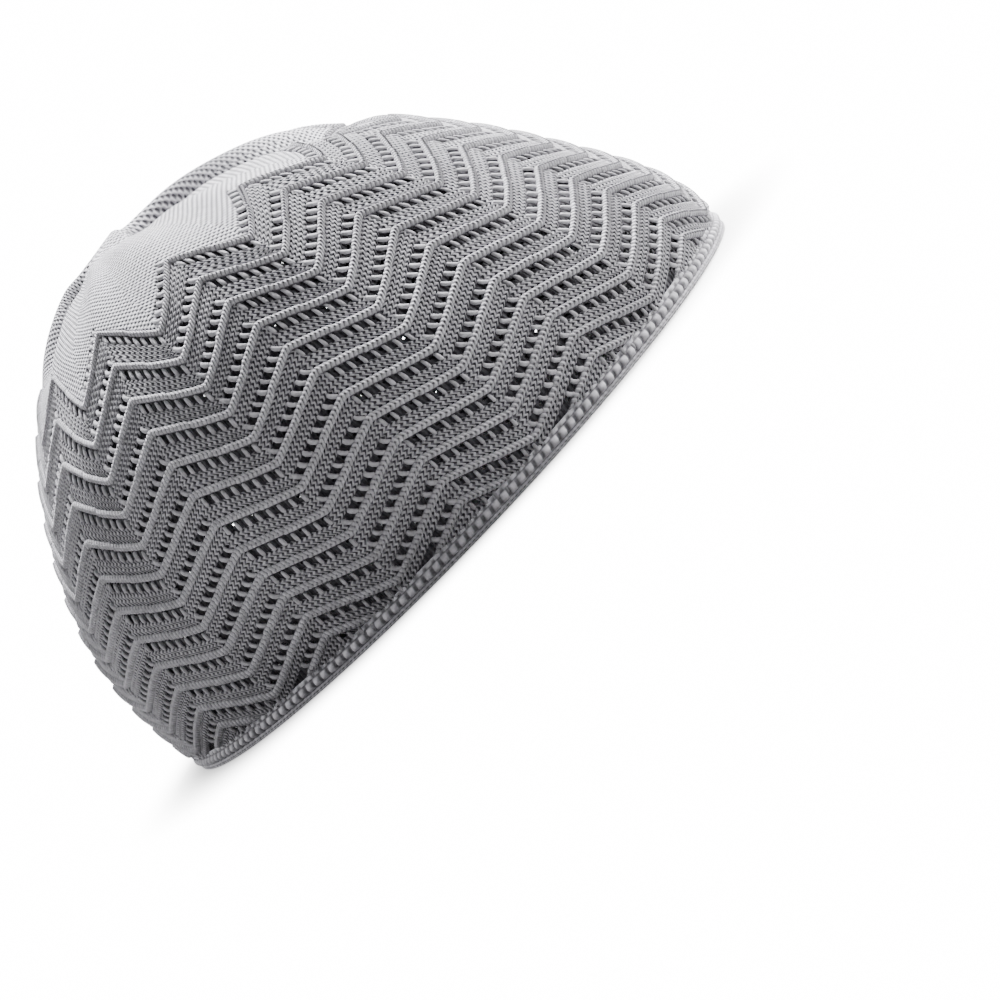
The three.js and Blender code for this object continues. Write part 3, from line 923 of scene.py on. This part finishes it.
def rim_band(cap, material):
    """The rim band: bobbles over a double chained edge, rolled in under the rim."""
    bobbles, points_a_bobble = 192, 8
    chain_swell, bobble_dip, loop_dip = 0.16, 0.85, 0.7
    slant, slant_middle, slant_foot = 0.12, 3.4, 1.8
    rim_girth = 580.0
    pattern_height = 1.6
    edge_line = 4
    groove_shade, dash_shade, between_shade, deepest = 0.65, 0.85, 0.8, 0.9
    columns = bobbles * points_a_bobble
    mesh, column, line = grid_mesh("rim_band", columns, len(BAND_ROWS) - 1)
    level, stand, edge_part, bobble_part, loop_part = np.array(BAND_ROWS)[line.astype(int)].T
    turn = column / columns
    phase = column / points_a_bobble
    wave = np.cos(2 * np.pi * phase)
    bobble = smoothstep(wave, -0.9, 0.3)
    loop = smoothstep(-wave, -0.8, 0.4)
    chain = np.cos(2 * np.pi * phase * 2)
    height = stand + chain_swell * edge_part * chain
    height = height - bobble_dip * bobble_part * (1 - bobble) - loop_dip * loop_part * (1 - loop)
    skew = (level - slant_middle) * slant * (level > slant_foot)
    points = cap.raised(turn + skew / rim_girth, level / cap.profile, height)
    points[:, 2] = np.maximum(points[:, 2], 0.0)
    place_points(mesh, points)
    write_uv(mesh, phase, level / pattern_height)
    # Painted shade of the band: in its two grooves, in dashes along the edge chain, and between the bobbles
    # and the small loops.
    groove = bell(level, 1.55, 0.15) + bell(level, 4.05, 0.2)
    dashes = bell(level, 0.75, 0.12) * (0.6 - 0.4 * chain) * (line > edge_line)
    between = bobble_part * (1 - bobble) + loop_part * (1 - loop)
    shade = groove_shade * groove + dash_shade * dashes + between_shade * between
    write_mask(mesh, "painted_shade", np.clip(shade, 0, deepest))
    close_ring(mesh, column, columns)
    add_piece("rim_band", mesh, material)


def inside(cap, material):
    """The back of the knitting inside the cap, open behind some of the eyelets, up to the tip."""
    columns_a_half = 16
    beyond_rib, into_rib = 0.4, 0.1
    narrowed = 1.55
    crown_rows = 22
    foot, bare = 1.0, 1.2
    eyelet_shade, plain_shade = 0.8, 0.35
    every = 4
    values = settings()
    wall = values.wall / MM
    rib_edge = values.rib_width / MM / 2 + beyond_rib
    eyelet = values.eyelet_height / MM - narrowed
    columns = HALVES * columns_a_half
    # The lines of the grid follow the ribs: how far above or below which rib's middle each one runs.
    stations = []
    for row in range(len(RIB_ROWS)):
        for offset in (0.0, rib_edge - into_rib, rib_edge + eyelet):
            stations.append((row, offset))
        for offset in (-(rib_edge + eyelet), -(rib_edge - into_rib)):
            stations.append((row + 1, offset))
    lines_a_row = 5
    stations = stations[:-2]
    rows = len(stations) - 1 + crown_rows
    mesh, column, line = grid_mesh("inside", columns, rows)
    turn = column / columns
    station = np.minimum(line, len(stations) - 1).astype(int)
    along = np.zeros_like(turn)
    for number, (row, offset) in enumerate(stations):
        here = station == number
        along[here] = rib_along(row, turn[here]) + offset / cap.profile
    rest = np.maximum(line - (len(stations) - 1), 0) / crown_rows
    along = along + (1 - along) * rest
    along = np.maximum(along, foot / cap.profile)
    points = cap.raised(turn, np.minimum(along, 1.0), -np.full_like(turn, wall))
    tip = cap.tip(-wall)
    points[line == rows] = tip
    place_points(mesh, points)
    write_uv(mesh, column, along * cap.profile / (values.wave_length / MM))
    # Painted shade on the back of the knitting: deep beside the eyelets, lighter elsewhere.
    beside = (np.mod(station, lines_a_row) > 0) & (line < len(stations))
    write_mask(mesh, "painted_shade", np.where(beside, eyelet_shade, plain_shade))
    half = np.mod(face_means(mesh, turn) * HALVES, 2)
    strip = np.floor(face_means(mesh, np.minimum(line, len(stations)))).astype(int)
    above_rib = (np.mod(strip, lines_a_row) == 1) & (half > 1)
    below_rib = (np.mod(strip, lines_a_row) == 3) & (half < 1)
    face_along = face_means(mesh, along)
    shifted = np.floor(face_means(mesh, column)) + np.where(above_rib, 0, every // 2)
    holes = (above_rib | below_rib) & (strip < len(stations) - 1)
    holes &= (face_along > cap.band_top) & (np.mod(shifted, every) == 0)
    close_ring(mesh, column, columns, holes | (face_along < bare / cap.profile))
    close_tip(mesh, tip, turn_over=True)
    add_piece("inside", mesh, material)


# Stage

def white_glow(tree, kind):
    """The even white that the camera sees behind and around the cap."""
    glow = tree.nodes.new(kind)
    glow.inputs["Color"].default_value = (1, 1, 1, 1)
    glow.inputs["Strength"].default_value = 16
    return glow.outputs[0]


def floor_material():
    """A pale floor that fades into the white backdrop with the distance from the cap."""
    fade_start, fade_end = -0.004, 0.03
    bounce_color = (0.26, 0.26, 0.26, 1)
    values = settings()
    material = bpy.data.materials.new("pale_floor")
    material.use_nodes = True
    tree = material.node_tree
    shader = tree.nodes["Principled BSDF"]
    shader.inputs["Roughness"].default_value = 0.9
    shader.inputs["Specular IOR Level"].default_value = 0.1
    place = tree.nodes.new("ShaderNodeTexCoord")
    rounded = tree.nodes.new("ShaderNodeVectorMath")
    rounded.operation = "MULTIPLY"
    rounded.inputs[1].default_value = (1.0, values.rim_length / values.rim_width, 1.0)
    tree.links.new(place.outputs["Object"], rounded.inputs[0])
    distance = tree.nodes.new("ShaderNodeVectorMath")
    distance.operation = "LENGTH"
    tree.links.new(rounded.outputs["Vector"], distance.inputs[0])
    edge = values.rim_length / 2
    fade = range_node(tree, distance.outputs["Value"], edge + fade_start, edge + fade_end, 0.0, 1.0)
    rays = tree.nodes.new("ShaderNodeLightPath")
    camera_ray = rays.outputs["Is Camera Ray"]
    seen = math_node(tree, "MULTIPLY", fade, camera_ray)
    color = color_mix(tree, camera_ray, bounce_color, (*values.floor_color, 1))
    tree.links.new(color, shader.inputs["Base Color"])
    mix = tree.nodes.new("ShaderNodeMixShader")
    tree.links.new(seen, mix.inputs[0])
    tree.links.new(shader.outputs[0], mix.inputs[1])
    tree.links.new(white_glow(tree, "ShaderNodeEmission"), mix.inputs[2])
    tree.links.new(mix.outputs[0], tree.nodes["Material Output"].inputs["Surface"])
    return material


def add_floor():
    bm = bmesh.new()
    bmesh.ops.create_circle(bm, cap_ends=True, segments=96, radius=6.0)
    mesh = bpy.data.meshes.new("floor")
    bm.to_mesh(mesh)
    bm.free()
    mesh.materials.append(floor_material())
    floor = bpy.data.objects.new("floor", mesh)
    bpy.context.scene.collection.objects.link(floor)


def area_light(name, place, target, size, power, color):
    data = bpy.data.lights.new(name, "AREA")
    data.shape = "DISK"
    data.size = size
    data.energy = power
    data.color = color
    light = bpy.data.objects.new(name, data)
    bpy.context.scene.collection.objects.link(light)
    light.location = place
    light.rotation_mode = "QUATERNION"
    light.rotation_quaternion = (Vector(target) - Vector(place)).to_track_quat("-Z", "Y")


def add_camera():
    """The camera of the photograph: at the cap's side, a little above it, and rolled with the cap."""
    azimuth = math.radians(-4.0)
    elevation = math.radians(8.5)
    roll = math.radians(46.25)
    distance = 0.91
    view_width = 0.2732
    sensor_width = 36
    target = Vector((0.0055, 0.0, -0.0091))
    level = math.cos(elevation)
    back = Vector((math.sin(azimuth) * level, -math.cos(azimuth) * level, math.sin(elevation)))
    right = Vector((math.cos(azimuth), math.sin(azimuth), 0))
    up = back.cross(right)
    local_x = right * math.cos(roll) - up * math.sin(roll)
    local_y = right * math.sin(roll) + up * math.cos(roll)
    data = bpy.data.cameras.new("camera")
    data.sensor_width = sensor_width
    data.lens = sensor_width * distance / view_width
    data.clip_start = 0.05
    data.clip_end = 100
    camera = bpy.data.objects.new("camera", data)
    bpy.context.scene.collection.objects.link(camera)
    turned = Matrix((local_x, local_y, back)).transposed().to_4x4()
    camera.matrix_world = Matrix.Translation(target + back * distance) @ turned
    bpy.context.scene.camera = camera


def white_world():
    """White behind everything that the camera sees, and a softer light for the cap."""
    world = bpy.data.worlds.new("studio")
    bpy.context.scene.world = world
    world.use_nodes = True
    tree = world.node_tree
    tree.nodes.clear()
    light = tree.nodes.new("ShaderNodeBackground")
    light.inputs["Color"].default_value = (0.95, 0.97, 1.0, 1)
    light.inputs["Strength"].default_value = 0.2
    rays = tree.nodes.new("ShaderNodeLightPath")
    mix = tree.nodes.new("ShaderNodeMixShader")
    tree.links.new(rays.outputs["Is Camera Ray"], mix.inputs[0])
    tree.links.new(light.outputs[0], mix.inputs[1])
    tree.links.new(white_glow(tree, "ShaderNodeBackground"), mix.inputs[2])
    out = tree.nodes.new("ShaderNodeOutputWorld")
    tree.links.new(mix.outputs[0], out.inputs["Surface"])


# Operators and panel

class KUFI_OT_ground(bpy.types.Operator):
    """Knit the ground between the ribs"""

    bl_idname = "kufi.ground"
    bl_label = "Ground"

    def execute(self, context):
        cap = Cap(settings())
        material = yarn_material("knit_ground", knit_gap_group(), relief=0.00012, twist=0.12)
        for row in range(-1, len(RIB_ROWS) - 1):
            ground_row(cap, row, material)
        return {"FINISHED"}


class KUFI_OT_ribs(bpy.types.Operator):
    """Lay the zigzag ribs on the ground"""

    bl_idname = "kufi.ribs"
    bl_label = "Ribs"

    def execute(self, context):
        cap = Cap(settings())
        # The ribs' yarn is made lighter: painted light, for the light that falls on them from above.
        material = yarn_material("knit_rib", rib_chain_group(), relief=0.00016, twist=0.25, painted_light_scale=1.25)
        for row in range(len(RIB_ROWS)):
            rib_chain(cap, row, material)
        return {"FINISHED"}


class KUFI_OT_eyelets(bpy.types.Operator):
    """Set the stubs of yarn between the eyelets"""

    bl_idname = "kufi.eyelets"
    bl_label = "Eyelets"

    def execute(self, context):
        cap = Cap(settings())
        pattern = knit_gap_group()
        # The stubs' yarn is made a little darker: painted shade.
        material = yarn_material(
            "eyelet_yarn", pattern, relief=0.00005, twist=0.5, softness=1.0, painted_light_scale=0.95
        )
        for row in range(len(RIB_ROWS)):
            lobes(cap, row, True, material)
            lobes(cap, row, False, material)
        return {"FINISHED"}


class KUFI_OT_crown(bpy.types.Operator):
    """Close the crown"""

    bl_idname = "kufi.crown"
    bl_label = "Crown"

    def execute(self, context):
        pattern = plain_knit_group()
        # The crown's yarn is made lighter: painted light, for the light on the top.
        material = yarn_material(
            "knit_crown", pattern, relief=0.00025, twist=0.1, gap_limit=0.97, painted_light_scale=1.35
        )
        crown(Cap(settings()), material)
        return {"FINISHED"}


class KUFI_OT_band(bpy.types.Operator):
    """Roll the band round the rim"""

    bl_idname = "kufi.band"
    bl_label = "Rim band"

    def execute(self, context):
        pattern = knit_gap_group()
        # The band's yarn is made much lighter: painted light, for the band that faces down, away from the
        # top light.
        material = yarn_material(
            "knit_band", pattern, relief=0.00005, twist=0.4, softness=1.0, painted_light_scale=1.8
        )
        rim_band(Cap(settings()), material)
        return {"FINISHED"}


class KUFI_OT_inside(bpy.types.Operator):
    """Knit the inside of the wall"""

    bl_idname = "kufi.inside"
    bl_label = "Inside"

    def execute(self, context):
        material = yarn_material("knit_inside", knit_gap_group(), relief=0.0002, twist=0.12, gap_limit=0.8)
        inside(Cap(settings()), material)
        return {"FINISHED"}


class KUFI_OT_stage(bpy.types.Operator):
    """Set up the floor, the lights and the camera"""

    bl_idname = "kufi.stage"
    bl_label = "Stage"

    def execute(self, context):
        add_floor()
        white_world()
        for light in LIGHTS:
            area_light(*light)
        add_camera()
        return {"FINISHED"}


OPERATORS = (
    KUFI_OT_ground,
    KUFI_OT_ribs,
    KUFI_OT_eyelets,
    KUFI_OT_crown,
    KUFI_OT_band,
    KUFI_OT_inside,
    KUFI_OT_stage,
)


class KUFI_PT_panel(bpy.types.Panel):
    """The kufi's sizes, colours and pieces"""

    bl_idname = "KUFI_PT_panel"
    bl_label = "Knitted kufi"
    bl_space_type = "VIEW_3D"
    bl_region_type = "UI"
    bl_category = "Kufi"

    def draw(self, context):
        for name in KufiSettings.__annotations__:
            self.layout.prop(context.scene.kufi, name)
        for operator in OPERATORS:
            self.layout.operator(operator.bl_idname)


CLASSES = (KufiSettings, *OPERATORS, KUFI_PT_panel)


def register():
    for item in CLASSES:
        bpy.utils.register_class(item)
    bpy.types.Scene.kufi = bpy.props.PointerProperty(type=KufiSettings)


def unregister():
    del bpy.types.Scene.kufi
    for item in reversed(CLASSES):
        bpy.utils.unregister_class(item)


def main():
    register()
    bpy.ops.kufi.ground()
    bpy.ops.kufi.ribs()
    bpy.ops.kufi.eyelets()
    bpy.ops.kufi.crown()
    bpy.ops.kufi.band()
    bpy.ops.kufi.inside()
    bpy.ops.kufi.stage()


if __name__ == "__main__":
    main()
